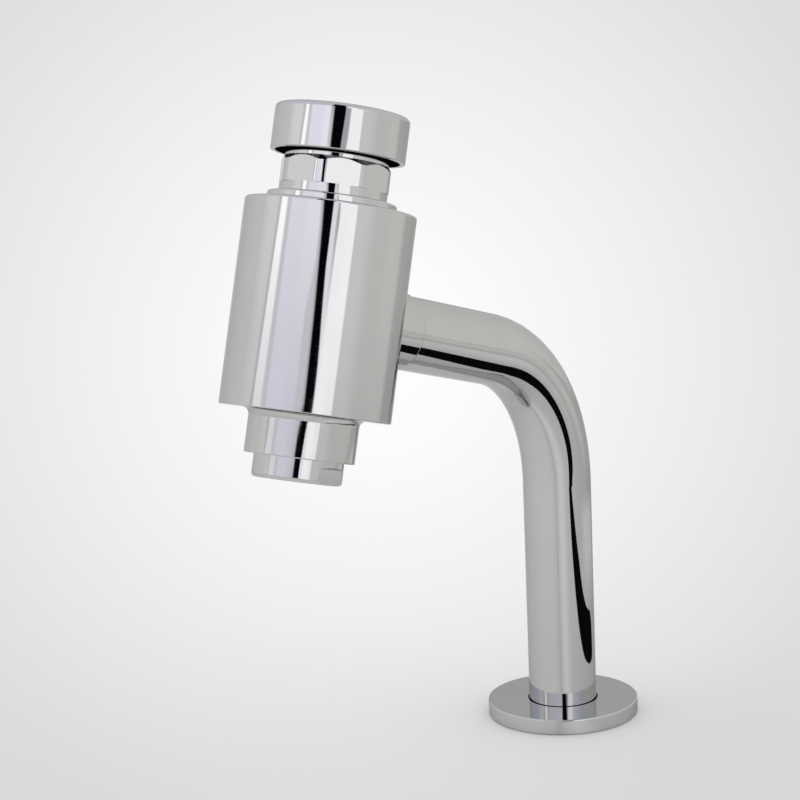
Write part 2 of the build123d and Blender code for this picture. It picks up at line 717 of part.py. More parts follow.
def piston():
    outer_d = SLEEVE_BORE_D - 2 * RUNNING
    hole_d = stem_waist_d + 2 * FIT
    groove_d = SLEEVE_BORE_D - 2 * CUP_SEAL_WALL
    groove_low = piston_low + CUP_SEAL_RISE
    groove_high = groove_low + CUP_SEAL_HEIGHT + FIT
    disc = turned(
        (hole_d, piston_low),
        (outer_d, piston_low),
        (outer_d, groove_low),
        (groove_d, groove_low),
        (groove_d, groove_high),
        (outer_d, groove_high),
        (outer_d, piston_top),
        (hole_d, piston_top),
    )
    bleed_hole = rod(BLEED_HOLE_D, piston_low - OVERRUN, piston_top + OVERRUN)
    return on_head(disc - Pos(0, bleed_pin_offset, 0) * bleed_hole)


def piston_cup_seal():
    outer_d = SLEEVE_BORE_D - 2 * FIT
    inner_d = SLEEVE_BORE_D - 2 * CUP_SEAL_WALL + 2 * FIT
    low = piston_low + CUP_SEAL_RISE
    high = low + CUP_SEAL_HEIGHT
    cup_floor = low + CUP_SEAL_FLOOR
    return on_head(turned(
        (inner_d, low),
        (outer_d, low),
        (outer_d, high),
        (outer_d - 2 * CUP_SEAL_LIP, high),
        (outer_d - 2 * CUP_SEAL_ROOT, cup_floor),
        (inner_d + 2 * CUP_SEAL_ROOT, cup_floor),
        (inner_d + 2 * CUP_SEAL_LIP, high),
        (inner_d, high),
    ))


def piston_clip():
    inner_d = stem_waist_d - 2 * CLIP_GROOVE_DEPTH + 2 * FIT
    high = piston_low
    low = high - CLIP_THICK
    slot = Pos(0, -CLIP_D / 2, high) * Box(inner_d, CLIP_D, 2 * CLIP_THICK + OVERRUN)
    return on_head(ring(CLIP_D, inner_d, low, high) - slot)


def return_spring():
    wire_r = SPRING_WIRE_D / 2
    low = seat_top + wire_r + SPRING_END_GAP
    high = piston_low - wire_r - SPRING_END_GAP
    pitch = (high - low) / SPRING_TURNS
    path = Helix(pitch, high - low, SPRING_COIL_D / 2)
    start = Plane(path @ 0, z_dir=path % 0)
    spring = sweep(start * Circle(wire_r), path=path, is_frenet=True)
    return on_head(Pos(0, 0, low) * spring)


def valve_seal():
    return on_head(ring(SEAL_D, stem_tail_d + 2 * FIT, seal_low, seal_top))


def seal_holder():
    return on_head(turned(
        (stem_tail_d + 2 * FIT, holder_low),
        (seal_holder_d, holder_low),
        (seal_holder_d, seal_low + SEAL_HOLDER_RIM),
        (SEAL_D + 2 * FIT, seal_low + SEAL_HOLDER_RIM),
        (SEAL_D + 2 * FIT, seal_low),
        (stem_tail_d + 2 * FIT, seal_low),
    ))


def seal_nut():
    return on_head(hex_nut(SEAL_NUT_ACROSS, stem_tail_d + 2 * FIT, seal_nut_low, holder_low))


# Aerator
def aerator_shell():
    shell = turned(
        (aerator_lip_d, aerator_low),
        (aerator_d, aerator_low, AERATOR_EDGE),
        (aerator_d, boss_low - FIT),
        (aerator_thread_d, boss_low - FIT),
        (aerator_thread_d, aerator_thread_top),
        (aerator_bore_d, aerator_thread_top),
        (aerator_bore_d, aerator_lip_top),
        (aerator_lip_d, aerator_lip_top),
    )
    flat = aerator_d / 2 - AERATOR_FLAT_DEPTH
    shoulder = aerator_low + AERATOR_FLAT_HEIGHT
    cut = make_face(Polyline(
        (flat, aerator_low - OVERRUN),
        (aerator_d, aerator_low - OVERRUN),
        (aerator_d, shoulder + AERATOR_FLAT_RISE),
        (aerator_d / 2, shoulder + AERATOR_FLAT_RISE),
        (flat, shoulder),
        close=True,
    ))
    cutter = extrude(Plane.XZ * cut, aerator_d, both=True)
    return on_head(shell - cutter - Rot(0, 0, 180) * cutter)


def aerator_mesh():
    disc_d = aerator_bore_d - 2 * FIT
    disc = rod(disc_d, aerator_lip_top, aerator_mesh_top)
    hole = rod(AERATOR_MESH_HOLE_D, aerator_lip_top - OVERRUN, aerator_mesh_top + OVERRUN)
    reach = aerator_lip_d / 2 - AERATOR_MESH_HOLE_D / 2
    steps = int(reach / AERATOR_MESH_PITCH)
    holes = []
    for column in range(-steps, steps + 1):
        for row in range(-steps, steps + 1):
            x = column * AERATOR_MESH_PITCH
            y = row * AERATOR_MESH_PITCH
            if math.hypot(x, y) < reach:
                holes.append(Pos(x, y, 0) * hole)
    return on_head(disc - holes)


def aerator_insert():
    outer_d = aerator_bore_d - 2 * FIT
    low = aerator_mesh_top + FIT
    high = low + AERATOR_INSERT_HEIGHT
    plate_low = high - AERATOR_PLATE_THICK
    cup = turned(
        (outer_d - 2 * AERATOR_INSERT_WALL, low),
        (outer_d, low),
        (outer_d, high),
        (0, high),
        (0, plate_low),
        (outer_d - 2 * AERATOR_INSERT_WALL, plate_low),
    )
    jet = rod(AERATOR_JET_D, plate_low - OVERRUN, high + OVERRUN)
    jet_ring_d = outer_d - 2 * AERATOR_INSERT_WALL - 2 * AERATOR_JET_EDGE
    return on_head(cup - circle_of(jet, AERATOR_JETS, jet_ring_d))


def aerator_gasket():
    hole_d = aerator_thread_d - 2 * AERATOR_GASKET_WIDTH
    high = aerator_thread_top + AERATOR_GASKET_THICK
    return on_head(ring(aerator_thread_d, hole_d, aerator_thread_top, high))


NODES = [
    push_button,
    button_lock_nut,
    stem,
    piston,
    piston_cup_seal,
    piston_clip,
    return_spring,
    valve_seal,
    seal_holder,
    seal_nut,
    head_nut,
    stem_guide,
    cartridge_cap,
    guide_bush,
    stem_o_ring,
    cap_o_ring,
    bleed_pin,
    cartridge_sleeve,
    sleeve_o_ring,
    inlet_strainer,
    valve_seat,
    seat_gasket,
    valve_body,
    aerator_shell,
    aerator_mesh,
    aerator_insert,
    aerator_gasket,
    arm_seal,
    arm_ferrule,
    spout_tube,
    deck_flange,
    flange_gasket,
    inlet_shank,
    flow_restrictor,
    deck_gasket,
    deck_washer,
    back_nut,
]

os.makedirs("parts", exist_ok=True)
for make in NODES:
    export_step(make(), "parts/" + make.__name__ + ".step")
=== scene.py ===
import json
import math

import bmesh
import bpy
from mathutils import Matrix, Vector


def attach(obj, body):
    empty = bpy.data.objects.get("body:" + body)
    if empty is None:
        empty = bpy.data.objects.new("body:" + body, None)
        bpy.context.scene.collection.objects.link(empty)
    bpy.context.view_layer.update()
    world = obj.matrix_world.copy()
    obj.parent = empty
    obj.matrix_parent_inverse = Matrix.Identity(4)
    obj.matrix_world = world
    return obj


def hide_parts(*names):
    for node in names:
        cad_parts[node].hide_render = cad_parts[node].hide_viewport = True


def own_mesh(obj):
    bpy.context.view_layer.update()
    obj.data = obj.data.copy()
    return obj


# A push timed tap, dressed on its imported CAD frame. Metres, in the CAD's own frame.
# Pieces that replace a CAD node keep its place and its outline.

MM = 0.001

# Camera, solved from the photograph's proportions
CAMERA_PLACE = Vector((0.49173, -0.73558, 0.30453))
CAMERA_YAW = math.radians(-37.475)
CAMERA_PITCH = math.radians(-11.603)
CAMERA_ROLL = math.radians(-2.371)
CAMERA_LENS = 109.35
CAMERA_SENSOR = 36.0
CAMERA_CLIP = (0.01, 200.0)

# Head axis, leaning back by the arm's rise
ARM_RISE = math.radians(15.9)
HEAD_CENTRE = Vector((0.0, -136.296, 174.143)) * MM
HEAD_AXIS = Vector((0.0, math.sin(ARM_RISE), math.cos(ARM_RISE)))

# Floor: rings of faces that widen outwards, just under the deck flange
FLOOR_HOLE = 15.0 * MM
FLOOR_REACH = 60.0
FLOOR_DROP = 0.05 * MM
FLOOR_GROWTH = 1.5
FLOOR_SIDES = 96
FLOOR_PAINT = (0.775, 0.785, 0.745)

# Painted light on the table round the column, which only the chrome sees in reflection: azimuth
# and painted level. Beyond the table's reach, in metres, the chrome sees the studio's panels instead.
TABLE_PAINTED_LIGHT = (
    (-180, 151), (-150, 160), (-140, 180), (-126, 179), (-114, 176), (-102, 171), (-60, 176),
    (-30, 182), (10, 183), (24, 177), (30, 165), (36, 180), (46, 192), (54, 187), (66, 172),
    (84, 169), (100, 165), (126, 160), (150, 158), (180, 151),
)
TABLE_TINT = (1.0, 1.01, 0.97)
TABLE_REACH = (0.38, 0.46)

# On the right a patch of painted light makes the table paler from one reach to another, in metres
TABLE_PAINTED_BRIGHT = 180
PAINTED_BRIGHT_START = (0.15, 0.24)
PAINTED_BRIGHT_END = (0.36, 0.31)
PAINTED_BRIGHT_TURN = (112, 135)

# Black card lying on the table beside the tap, in millimetres: only the chrome sees it
CARD = (
    (33, 75), (38, 60), (50, 50), (75, 33), (112, 19), (159, 0), (205, -23), (261, -56),
    (360, -105), (700, -290), (700, -190), (373, -45), (317, 0), (261, 37), (224, 58),
    (160, 80), (110, 102), (66, 128), (48, 112), (38, 92),
)
CARD_HEIGHT = 0.3
CARD_PAINT = (0.004, 0.004, 0.005, 1.0)

# Inlet shank: its outline and its G 1/2 thread, in millimetres
SHANK_RADIUS = 10.4775
SHANK_BORE = 6.5
SHANK_POCKET = 7.55
SHANK_POCKET_TOP = -44.0
SHANK_LOW = -50.0
SHANK_EDGE = 1.0
SHANK_GROOVE = (-37.5, -36.0)
SHANK_GROOVE_DEPTH = 1.1
SHANK_FOOT = 3.05
SHANK_HEAD_RADIUS = 11.15
SHANK_HEAD_TOP = 18.05
THREAD_PITCH = 1.814
THREAD_DEPTH = 1.0
THREAD_TOP = -1.5
THREAD_CREST_SHARE = 0.14
THREAD_LEAD = 0.2
THREAD_FADE = 1.0
THREAD_ROWS = 10
LATHE_SIDES = 96
SHARP_EDGE = math.radians(50)

# Return spring, in millimetres along the head's axis
SPRING_COIL_RADIUS = 9.0
SPRING_WIRE_RADIUS = 0.7
SPRING_LOW = -9.25
SPRING_HIGH = 7.25
SPRING_TURNS = 5
SPRING_TURN_STEPS = 40
SPRING_SIDES = 16
SPRING_CLOSING_SHARE = 0.035

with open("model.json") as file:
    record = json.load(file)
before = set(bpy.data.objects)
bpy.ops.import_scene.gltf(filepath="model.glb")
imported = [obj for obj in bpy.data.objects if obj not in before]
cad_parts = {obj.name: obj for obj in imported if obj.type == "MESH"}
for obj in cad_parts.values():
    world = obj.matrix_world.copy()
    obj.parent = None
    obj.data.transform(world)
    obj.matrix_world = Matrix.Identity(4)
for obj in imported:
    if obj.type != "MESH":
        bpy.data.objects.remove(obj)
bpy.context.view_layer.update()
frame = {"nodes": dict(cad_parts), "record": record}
nodes = frame["nodes"]


def linear(colour):
    """Linear light of a colour written in screen levels from 0 to 255."""
    levels = [level / 255 for level in colour]
    return tuple(x / 12.92 if x <= 0.04045 else ((x + 0.055) / 1.055) ** 2.4 for x in levels)


def add_object(name, data):
    made = bpy.data.objects.new(name, data)
    bpy.context.scene.collection.objects.link(made)
    return made


# Node trees
class Tree:
    """Short calls that add shader nodes to one tree."""

    def __init__(self, owner):
        owner.use_nodes = True
        self.tree = owner.node_tree
        self.tree.nodes.clear()

    def node(self, kind, **settings):
        made = self.tree.nodes.new(kind)
        for name, value in settings.items():
            setattr(made, name, value)
        return made

    def link(self, output, socket):
        self.tree.links.new(output, socket)

    def fill(self, socket, value):
        if isinstance(value, bpy.types.NodeSocket):
            self.link(value, socket)
        else:
            socket.default_value = value

    def calc(self, operation, first, second=0.0):
        made = self.node("ShaderNodeMath", operation=operation)
        self.fill(made.inputs[0], first)
        self.fill(made.inputs[1], second)
        return made.outputs[0]

    def product(self, first, *others):
        for other in others:
            first = self.calc("MULTIPLY", first, other)
        return first

    def vector(self, operation, first, second=(0.0, 0.0, 0.0)):
        made = self.node("ShaderNodeVectorMath", operation=operation)
        self.fill(made.inputs[0], first)
        self.fill(made.inputs[1], second)
        return made.outputs["Value"] if operation == "DOT_PRODUCT" else made.outputs["Vector"]

    def range(self, value, low, high, to_low=0.0, to_high=1.0, smooth=False):
        kind = "SMOOTHSTEP" if smooth else "LINEAR"
        made = self.node("ShaderNodeMapRange", interpolation_type=kind, clamp=True)
        for socket, number in zip(made.inputs, (value, low, high, to_low, to_high)):
            self.fill(socket, number)
        return made.outputs["Result"]

    def graph(self, value, points):
        """Straight lines between (x, y) points."""
        total = points[0][1]
        for (low, before), (high, after) in zip(points, points[1:]):
            total = self.calc("ADD", self.range(value, low, high, 0.0, after - before), total)
        return total

    def mix(self, factor, first, second):
        made = self.node("ShaderNodeMix", data_type="RGBA")
        self.fill(made.inputs[0], factor)
        self.fill(made.inputs[6], (*first, 1.0) if isinstance(first, tuple) else first)
        self.fill(made.inputs[7], (*second, 1.0) if isinstance(second, tuple) else second)
        return made.outputs[2]

    def blend(self, factor, first, second):
        made = self.node("ShaderNodeMixShader")
        self.fill(made.inputs[0], factor)
        self.link(first, made.inputs[1])
        self.link(second, made.inputs[2])
        return made.outputs[0]

    def split(self, vector):
        made = self.node("ShaderNodeSeparateXYZ")
        self.link(vector, made.inputs[0])
        return made.outputs

    def join(self, value):
        made = self.node("ShaderNodeCombineXYZ")
        for socket in made.inputs:
            self.link(value, socket)
        return made.outputs[0]

    def noise(self, place, scale, detail, rough=0.5):
        made = self.node("ShaderNodeTexNoise")
        self.link(place, made.inputs["Vector"])
        made.inputs["Scale"].default_value = scale
        made.inputs["Detail"].default_value = detail
        made.inputs["Roughness"].default_value = rough
        return made.outputs["Fac"]


# Camera
def place_camera():
    forward = Vector(
        (
            math.sin(CAMERA_YAW) * math.cos(CAMERA_PITCH),
            math.cos(CAMERA_YAW) * math.cos(CAMERA_PITCH),
            math.sin(CAMERA_PITCH),
        )
    )
    level = Vector((math.cos(CAMERA_YAW), -math.sin(CAMERA_YAW), 0.0))
    up = level.cross(forward)
    right_side = level * math.cos(CAMERA_ROLL) + up * math.sin(CAMERA_ROLL)
    top_side = up * math.cos(CAMERA_ROLL) - level * math.sin(CAMERA_ROLL)
    data = bpy.data.cameras.new("camera")
    data.lens = CAMERA_LENS
    data.sensor_width = CAMERA_SENSOR
    data.sensor_fit = "HORIZONTAL"
    data.clip_start, data.clip_end = CAMERA_CLIP
    camera = add_object("camera", data)
    turn = Matrix((right_side, top_side, -forward)).transposed().to_4x4()
    camera.matrix_world = Matrix.Translation(CAMERA_PLACE) @ turn
    bpy.context.scene.camera = camera
    return forward, right_side, top_side


forward, right_side, top_side = place_camera()

# Pool of light on floor and backdrop: an axis through the room, and its falloff by angle
POOL_EYE = CAMERA_PLACE
POOL_LEFT = 0.0103
POOL_UP = 0.0185
POOL_AXIS = (forward - right_side * POOL_LEFT + top_side * POOL_UP).normalized()
POOL = (
    (0.0, 0.99),
    (2.0, 0.981),
    (4.0, 0.925),
    (6.0, 0.885),
    (8.0, 0.833),
    (10.0, 0.787),
    (12.2, 0.725),
    (16.0, 0.70),
)


def pool_light(tree, direction):
    """Grey level of the pale pool, from a direction seen from its eye."""
    cosine = tree.vector("DOT_PRODUCT", direction, tuple(POOL_AXIS))
    angle = tree.calc("ARCCOSINE", cosine)
    reach = math.radians(POOL[-1][0])
    ramp = tree.node("ShaderNodeValToRGB")
    tree.link(tree.range(angle, 0.0, reach), ramp.inputs[0])
    stops = ramp.color_ramp.elements
    stops[0].position = 0.0
    stops[1].position = 1.0
    for degrees, level in POOL[1:-1]:
        stops.new(degrees / POOL[-1][0])
    for stop, (degrees, level) in zip(stops, POOL):
        stop.color = (level, level, level, 1.0)
    ramp.color_ramp.interpolation = "B_SPLINE"
    return ramp.outputs[0]


# Studio, as the chrome sees it: panels round the head, at azimuths about its axis in
# degrees, from the back round the left to the front and the right. Azimuth 0 is the side
# the arm points to, and height is measured from the plane square to the head's axis.
CHROME_LIGHT = (0.58, 0.582, 0.586)  # share of the light that the chrome gives back
FRONT = Vector((1.0, 0.0, 0.0)).cross(HEAD_AXIS)
FULL = (0.0, 7.0)
BLACK = (4, 4, 7)

# Edges that shift with height: (height, azimuth) points joined by straight lines
DIP_EDGE = ((0.0, -40.4), (7.5, -31.6))
STRIP_LEFT = (
    (-0.7, -38.4), (0.0, -35.4), (1.2, -35.0), (4.1, -31.4), (5.1, -30.0), (7.0, -27.6), (7.5, -26.4),
)
STRIP_RIGHT = ((0.0, -22.8), (5.1, -20.8))
LEAD_EDGE = (
    (-0.7, 19.0), (0.1, 20.5), (0.8, 23.6), (2.9, 22.4), (4.1, 27.5), (5.2, 26.6), (7.0, 18.6),
    (7.5, 18.2),
)
BLACK_LEFT = (
    (-0.7, 28.8), (0.1, 30.2), (0.7, 36.6), (2.9, 34.2), (5.1, 29.9), (7.0, 24.2), (8.0, 23.8),
)
BLACK_RIGHT = (
    (-0.7, 42.6), (0.1, 45.2), (0.7, 49.2), (1.7, 47.8), (2.9, 44.4), (4.0, 42.0), (7.0, 41.8),
    (7.6, 43.2),
)
WHITE_LEFT = ((0.0, 51.0), (4.5, 51.3), (5.2, 52.2), (5.8, 49.4), (6.5, 49.4), (7.0, 52.0))
WHITE_RIGHT = ((-0.7, 71.0), (0.0, 72.8), (0.8, 73.7), (5.2, 74.1), (7.0, 72.7))
BACK_EDGE = ((5.2, 156.0), (7.0, 152.5))

# A panel starts at an edge, moved by an offset, fades in over a width, and shows on chrome
# at one level at the lower of two heights and at another at the higher
PANELS = (
    (-200.0, 0.0, 2.0, (147, 148, 145), (161, 162, 159), (0.5, 3.0)),
    (-143.0, 0.0, 2.0, (178, 178, 178), (193, 193, 193), FULL),
    (-120.0, 0.0, 10.0, (178, 178, 177), (181, 181, 180), FULL),
    (-92.0, 0.0, 60.0, (182, 182, 181), (185, 185, 184), FULL),
    (-56.0, 0.0, 8.0, (186, 186, 185), (197, 197, 197), FULL),
    (-49.0, 0.0, 5.0, (188, 188, 188), (204, 204, 205), FULL),
    (DIP_EDGE, 0.0, 2.6, (168, 168, 170), (186, 186, 188), FULL),
    (STRIP_LEFT, 0.0, 2.4, (207, 206, 210), (252, 252, 252), (0.0, 5.4)),
    (STRIP_RIGHT, 0.0, 4.0, (186, 185, 192), (194, 193, 200), FULL),
    (-15.0, 0.0, 4.0, (198, 196, 208), (218, 217, 228), FULL),
    (8.0, 0.0, 10.0, (192, 191, 202), (228, 226, 234), FULL),
    (LEAD_EDGE, 0.0, 4.0, (184, 183, 189), (194, 192, 198), (0.0, 4.0)),
    (BLACK_LEFT, -2.4, 3.0, (158, 156, 160), (182, 180, 184), (0.0, 5.0)),
    (BLACK_LEFT, 0.0, 2.8, BLACK, BLACK, FULL),
    (BLACK_RIGHT, 0.0, 1.8, (216, 215, 223), (156, 155, 159), (5.6, 6.8)),
    (48.2, 0.0, 3.0, (227, 227, 229), (160, 160, 164), (2.6, 5.0)),
    (WHITE_LEFT, 0.0, 1.8, (234, 234, 235), (237, 237, 238), FULL),
    (63.0, 0.0, 10.0, (226, 226, 227), (238, 238, 239), (0.0, 3.0)),
    (WHITE_RIGHT, 0.0, 2.2, (182, 182, 182), (192, 192, 193), (0.0, 3.0)),
    (95.0, 0.0, 24.0, (171, 172, 169), (179, 180, 177), (0.0, 3.0)),
    (128.0, 0.0, 10.0, (171, 172, 169), (182, 183, 180), (0.0, 3.0)),
    (BACK_EDGE, 0.0, 12.0, (149, 150, 147), (161, 162, 159), (0.5, 3.5)),
)

# Above the panels: tones at the sides, behind and in front, then the ceiling. Below: one tone.
# A band gives the azimuths or heights between which a tone fades in.
ABOVE = (182, 183, 180)
ABOVE_BAND = (10.0, 13.0)
BACK = (160, 161, 159)
BACK_BANDS = ((-100.0, -125.0), (-153.0, -147.0))
AHEAD = (180, 183, 193)
AHEAD_BAND = (118.0, 96.0)
CEILING = (178, 179, 177)
CEILING_BAND = (38.0, 60.0)
BELOW = (174, 175, 172)
BELOW_BAND = (-1.5, -8.0)

# Glow on the right above the panels, which the column's foot shows by way of the disc, and the
# black panel, which rises on across the rims: azimuth and share, then the heights at which each
# fades in and out
GLOW = ((44.5, 0.0), (46.5, 1.0), (60.0, 1.0), (64.0, 0.35), (94.0, 0.0))
GLOW_BANDS = ((7.8, 8.8), (30.0, 20.0))
GLOW_TONE = (252, 252, 253)
RISE = ((18.0, 0.0), (21.0, 1.0), (42.0, 1.0), (44.0, 0.0))
RISE_BANDS = ((7.5, 8.5), (60.0, 45.0))


def as_lit(colour):
    """Light that shows as this colour on the chrome."""
    return tuple(light / share for light, share in zip(linear(colour), CHROME_LIGHT))


def grey_light(level):
    """Light that shows as this grey level on the chrome."""
    return as_lit((level, level, level))[1]


def build_world():
    world = bpy.data.worlds.new("studio")
    tree = Tree(world)
    place = tree.node("ShaderNodeTexCoord").outputs["Generated"]
    direction = tree.vector("NORMALIZE", place)
    side, _, _ = tree.split(direction)
    outward = tree.vector("DOT_PRODUCT", direction, tuple(FRONT))
    along = tree.vector("DOT_PRODUCT", direction, tuple(HEAD_AXIS))
    azimuth = tree.calc("DEGREES", tree.calc("ARCTAN2", side, outward))
    height = tree.calc("DEGREES", tree.calc("ARCSINE", along))
    light = as_lit(ABOVE)
    for edge, offset, width, low, high, heights in PANELS:
        turn = azimuth
        start = edge
        if isinstance(edge, tuple):
            turn = tree.calc("SUBTRACT", azimuth, tree.graph(height, edge))
            start = offset
        step = tree.range(turn, start - width / 2, start + width / 2, smooth=True)
        tone = tree.mix(tree.range(height, *heights), as_lit(low), as_lit(high))
        light = tree.mix(step, light, tone)
    back = tree.product(*(tree.range(azimuth, *band, smooth=True) for band in BACK_BANDS))
    ahead = tree.range(tree.calc("ABSOLUTE", azimuth), *AHEAD_BAND, smooth=True)
    upper = tree.mix(ahead, tree.mix(back, as_lit(ABOVE), as_lit(BACK)), as_lit(AHEAD))
    light = tree.mix(tree.range(height, *ABOVE_BAND, smooth=True), light, upper)
    light = tree.mix(tree.range(height, *CEILING_BAND, smooth=True), light, as_lit(CEILING))
    light = tree.mix(tree.range(height, *BELOW_BAND, smooth=True), light, as_lit(BELOW))
    for shares, bands, tone in ((GLOW, GLOW_BANDS, GLOW_TONE), (RISE, RISE_BANDS, BLACK)):
        share = tree.product(tree.graph(azimuth, shares), *(tree.range(height, *band) for band in bands))
        light = tree.mix(share, light, as_lit(tone))
    ray = tree.node("ShaderNodeLightPath").outputs
    plain = tree.mix(ray["Is Glossy Ray"], (1.0, 1.0, 1.0), light)
    seen = tree.mix(ray["Is Camera Ray"], plain, pool_light(tree, direction))
    background = tree.node("ShaderNodeBackground")
    tree.link(seen, background.inputs["Color"])
    background.inputs["Strength"].default_value = 1.0
    output = tree.node("ShaderNodeOutputWorld")
    tree.link(background.outputs[0], output.inputs["Surface"])
    bpy.context.scene.world = world
    bpy.context.scene.view_settings.view_transform = "Standard"


build_world()


# Materials
CLOUD_DETAIL = 3.0
CLOUD_SHARE = 0.6
GRAIN_DETAIL = 4.0
GRAIN_ROUGH = 0.6
NOISE_SPREAD = (0.35, 0.65)


def start_material(name):
    material = bpy.data.materials.new(name)
    tree = Tree(material)
    shader = tree.node("ShaderNodeBsdfPrincipled")
    output = tree.node("ShaderNodeOutputMaterial")
    tree.link(shader.outputs[0], output.inputs["Surface"])
    place = tree.node("ShaderNodeTexCoord").outputs["Object"]
    return material, tree, shader, place


def bump(tree, shader, height, distance):
    made = tree.node("ShaderNodeBump")
    made.inputs["Strength"].default_value = 1.0
    made.inputs["Distance"].default_value = distance
    tree.link(height, made.inputs["Height"])
    tree.link(made.outputs[0], shader.inputs["Normal"])


def surface(name, dark, light, metallic, rough, cloud, grain, depth, edge=1.0):
    """A moulded, plated or machined surface: two close colours in soft clouds,
    roughness that wanders between two values, and a fine grain."""
    material, tree, shader, place = start_material(name)
    clouds = tree.noise(place, cloud, CLOUD_DETAIL)
    fine = tree.noise(place, grain, GRAIN_DETAIL, GRAIN_ROUGH)
    colour = tree.mix(tree.range(clouds, *NOISE_SPREAD), dark, light)
    tree.link(colour, shader.inputs["Base Color"])
    wander = tree.calc("ADD", tree.product(clouds, CLOUD_SHARE), tree.product(fine, 1 - CLOUD_SHARE))
    tree.link(tree.range(wander, *NOISE_SPREAD, *rough), shader.inputs["Roughness"])
    shader.inputs["Metallic"].default_value = metallic
    shader.inputs["Specular Tint"].default_value = (edge, edge, edge, 1.0)
    bump(tree, shader, fine, depth)
    return material


# Each slot's surface: name, dark and light colour, metal, roughness, clouds, grain, depth of the
# grain in metres, and for the chrome its strength at the edges
FINISH = {
    "polished_chrome": surface(
        "chrome_plate", (0.572, 0.574, 0.578), (0.588, 0.59, 0.594), 1.0, (0.02, 0.045),
        45.0, 260.0, 0.6e-6, 0.74,
    ),
    "brass": surface(
        "machined_brass", (0.56, 0.36, 0.12), (0.68, 0.46, 0.18), 1.0, (0.2, 0.34),
        90.0, 1500.0, 6e-6,
    ),
    "stainless_steel": surface(
        "drawn_steel", (0.44, 0.44, 0.43), (0.54, 0.54, 0.53), 1.0, (0.18, 0.32),
        120.0, 1800.0, 5e-6,
    ),
    "black_rubber": surface(
        "black_rubber", (0.012, 0.012, 0.012), (0.022, 0.022, 0.021), 0.0, (0.55, 0.72),
        160.0, 2400.0, 12e-6,
    ),
    "black_plastic": surface(
        "black_acetal", (0.016, 0.016, 0.018), (0.026, 0.026, 0.028), 0.0, (0.36, 0.48),
        120.0, 2200.0, 8e-6,
    ),
    "pale_plastic": surface(
        "pale_acetal", (0.60, 0.61, 0.60), (0.68, 0.69, 0.68), 0.0, (0.34, 0.46),
        120.0, 2200.0, 8e-6,
    ),
}


def wear(piece, slot):
    piece.data.materials.clear()
    piece.data.materials.append(FINISH[slot])


# Shapes shared by the floor and the pieces
def turns(sides):
    return [2 * math.pi * step / sides for step in range(sides)]


def skin(build, rows):
    """Faces between each ring of points and the next."""
    for lower, upper in zip(rows, rows[1:]):
        for step in range(len(lower)):
            after = (step + 1) % len(lower)
            build.faces.new((lower[step], lower[after], upper[after], upper[step]))


def finish_mesh(build, name):
    mesh = bpy.data.meshes.new(name)
    build.to_mesh(mesh)
    build.free()
    return mesh


# Floor: the deck top, pale, with a hole under the flange for the shank
def build_floor():
    build = bmesh.new()
    rings = [FLOOR_HOLE]
    while rings[-1] < FLOOR_REACH:
        rings.append(rings[-1] * FLOOR_GROWTH)
    rows = []
    for radius in reversed(rings):
        ring = [(radius * math.cos(angle), radius * math.sin(angle)) for angle in turns(FLOOR_SIDES)]
        rows.append([build.verts.new((x, y, -FLOOR_DROP)) for x, y in ring])
    skin(build, rows)
    mesh = finish_mesh(build, "floor")
    add_object("floor", mesh)

    material = bpy.data.materials.new("floor")
    tree = Tree(material)
    geometry = tree.node("ShaderNodeNewGeometry").outputs
    direction = tree.vector("NORMALIZE", tree.vector("SUBTRACT", geometry["Position"], tuple(POOL_EYE)))
    x, y, _ = tree.split(geometry["Position"])
    azimuth = tree.calc("DEGREES", tree.calc("ARCTAN2", x, tree.product(y, -1.0)))
    reach = tree.calc("SQRT", tree.calc("ADD", tree.product(x, x), tree.product(y, y)))
    # The chrome sees the table in painted light: a level by azimuth, with a painted brighter patch on
    # the right
    tone = tree.graph(azimuth, [(turn, grey_light(level)) for turn, level in TABLE_PAINTED_LIGHT])
    # Painted brighter patch of light on the right, which lifts the table's level between two reaches and
    # two azimuths
    near_and_far = (tree.range(reach, *PAINTED_BRIGHT_START), tree.range(reach, *PAINTED_BRIGHT_END))
    pale = tree.product(*near_and_far, tree.range(azimuth, *PAINTED_BRIGHT_TURN))
    lift = tree.calc("SUBTRACT", grey_light(TABLE_PAINTED_BRIGHT), tone)
    tone = tree.calc("ADD", tone, tree.product(pale, lift))
    table = tree.vector("MULTIPLY", tree.join(tone), TABLE_TINT)
    ray = tree.node("ShaderNodeLightPath").outputs
    # For camera rays the floor's colour is the painted pool of light
    colour = tree.mix(ray["Is Camera Ray"], FLOOR_PAINT, pool_light(tree, direction))
    matt = tree.node("ShaderNodeBsdfDiffuse")
    tree.link(tree.mix(ray["Is Glossy Ray"], colour, table), matt.inputs["Color"])
    clear = tree.node("ShaderNodeBsdfTransparent")
    beyond = tree.product(tree.range(reach, *TABLE_REACH, smooth=True), ray["Is Glossy Ray"])
    hidden = tree.calc("MAXIMUM", geometry["Backfacing"], beyond)
    output = tree.node("ShaderNodeOutputMaterial")
    tree.link(tree.blend(hidden, matt.outputs[0], clear.outputs[0]), output.inputs["Surface"])
    mesh.materials.append(material)


build_floor()


def build_card():
    build = bmesh.new()
    build.faces.new([build.verts.new((x * MM, y * MM, CARD_HEIGHT * MM)) for x, y in CARD])
    mesh = finish_mesh(build, "black_card")
    card = add_object("black_card", mesh)
    card.visible_camera = False
    card.visible_diffuse = False
    card.visible_shadow = False
    card.visible_transmission = False
    material = bpy.data.materials.new("black_card")
    tree = Tree(material)
    matt = tree.node("ShaderNodeBsdfDiffuse")
    matt.inputs["Color"].default_value = CARD_PAINT
    output = tree.node("ShaderNodeOutputMaterial")
    tree.link(matt.outputs[0], output.inputs["Surface"])
    mesh.materials.append(material)


build_card()


